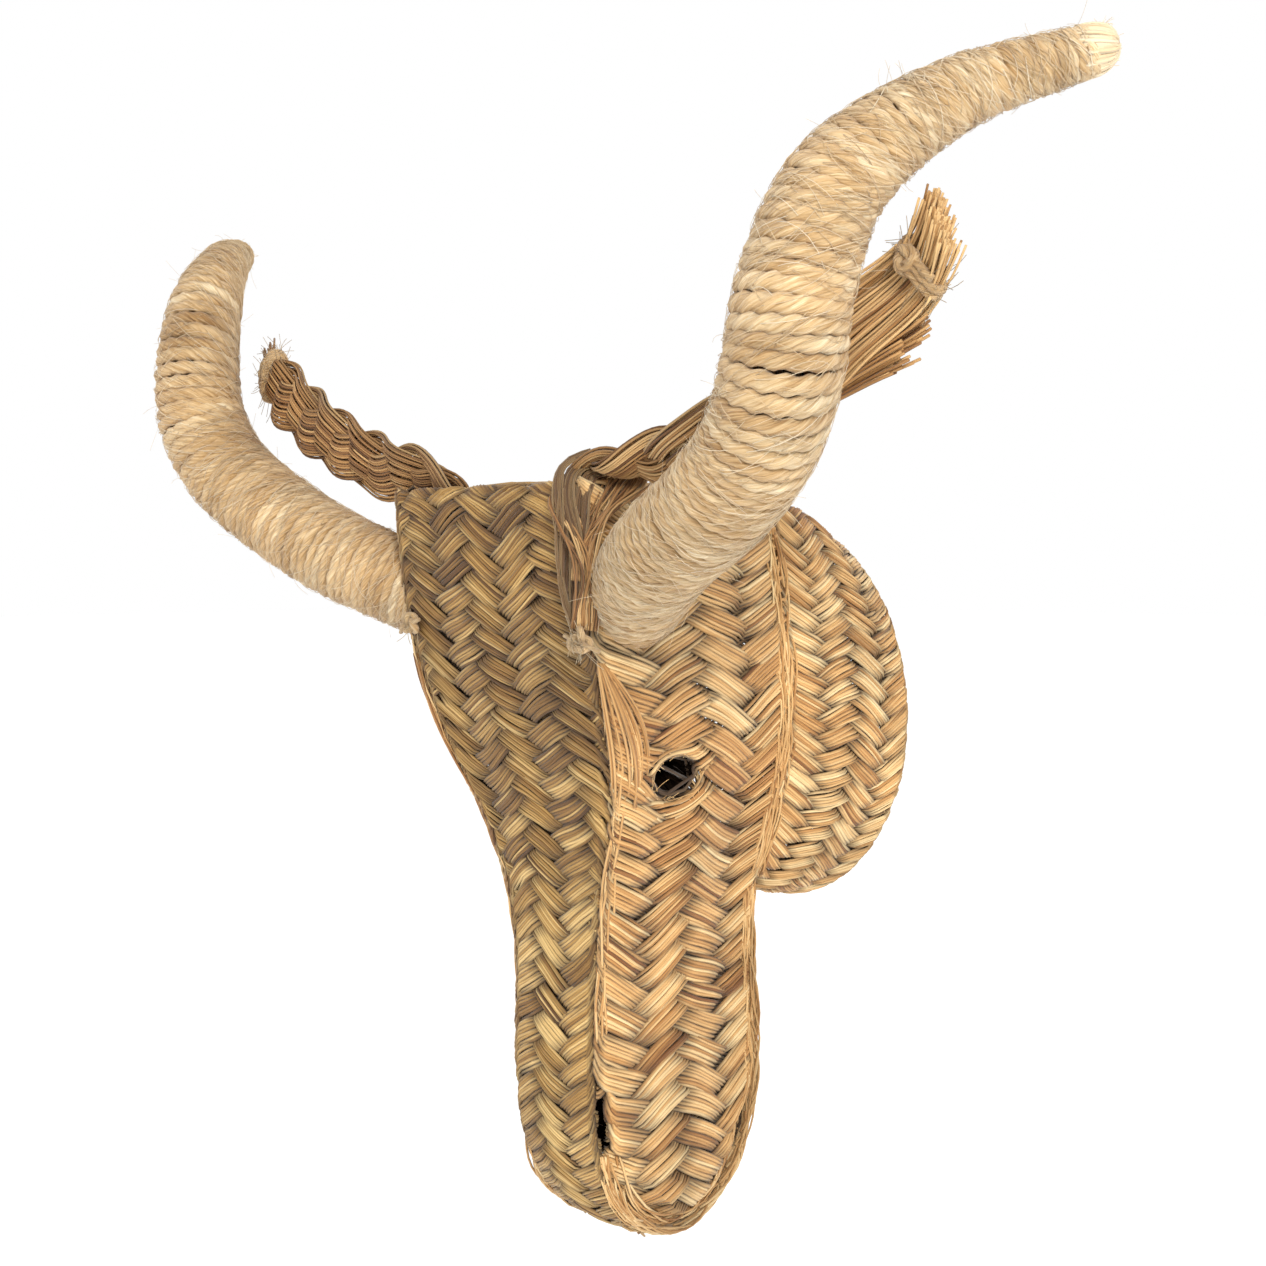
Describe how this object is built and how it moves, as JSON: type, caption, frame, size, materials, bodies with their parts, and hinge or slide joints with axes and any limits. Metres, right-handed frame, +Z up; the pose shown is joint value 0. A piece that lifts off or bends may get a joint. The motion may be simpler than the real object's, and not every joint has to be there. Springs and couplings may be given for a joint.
{
  "type": "woven straw trophy head",
  "caption": "Hollow horned animal head for a wall, sewn from flat straw plaits, with cord-wrapped curved horns and plaited strap ears.",
  "frame": {"origin": "in the open back rim at the middle of its top, on the wall plane, where a nail holds the head", "axes": "+Y into the wall, so the face looks along -Y; +X to a viewer's right when looking at the face; +Z up"},
  "size_m": [0.519, 0.2306, 0.4577],
  "materials": {
    "straw_gold": "dry golden straw plait",
    "straw_olive": "dry olive straw plait",
    "straw_brown": "darker straw strap",
    "core_straw": "rough straw bundle",
    "sisal_cord": "pale silky twisted cord",
    "cord_end": "frayed cord end",
    "tie_cord": "fuzzy twisted cord",
    "seam_cord": "fine stitching cord",
    "wire": "dull galvanised wire"
  },
  "bodies": {
    "root": {"front_braid": "straw_olive", "chin_braid": "straw_gold", "crown_braid": "straw_gold", "left_face_braid": "straw_gold", "left_jaw_braid": "straw_gold", "left_horn_wrap": "sisal_cord", "left_horn_core": "core_straw", "left_horn_tip": "cord_end", "left_horn_wire": "wire", "left_ear_strap": "straw_brown", "left_ear_tie": "tie_cord", "left_ear_tuft": "straw_brown", "left_brow_seam": "seam_cord", "left_jaw_seam": "seam_cord", "left_horn_knot": "tie_cord", "right_face_braid": "straw_gold", "right_jaw_braid": "straw_gold", "right_horn_wrap": "sisal_cord", "right_horn_core": "core_straw", "right_horn_tip": "cord_end", "right_horn_wire": "wire", "right_ear_strap": "straw_brown", "right_ear_tie": "tie_cord", "right_ear_tuft": "straw_brown", "right_brow_seam": "seam_cord", "right_jaw_seam": "seam_cord", "right_horn_knot": "tie_cord", "wire_binding": "tie_cord"}
  },
  "joints": []
}
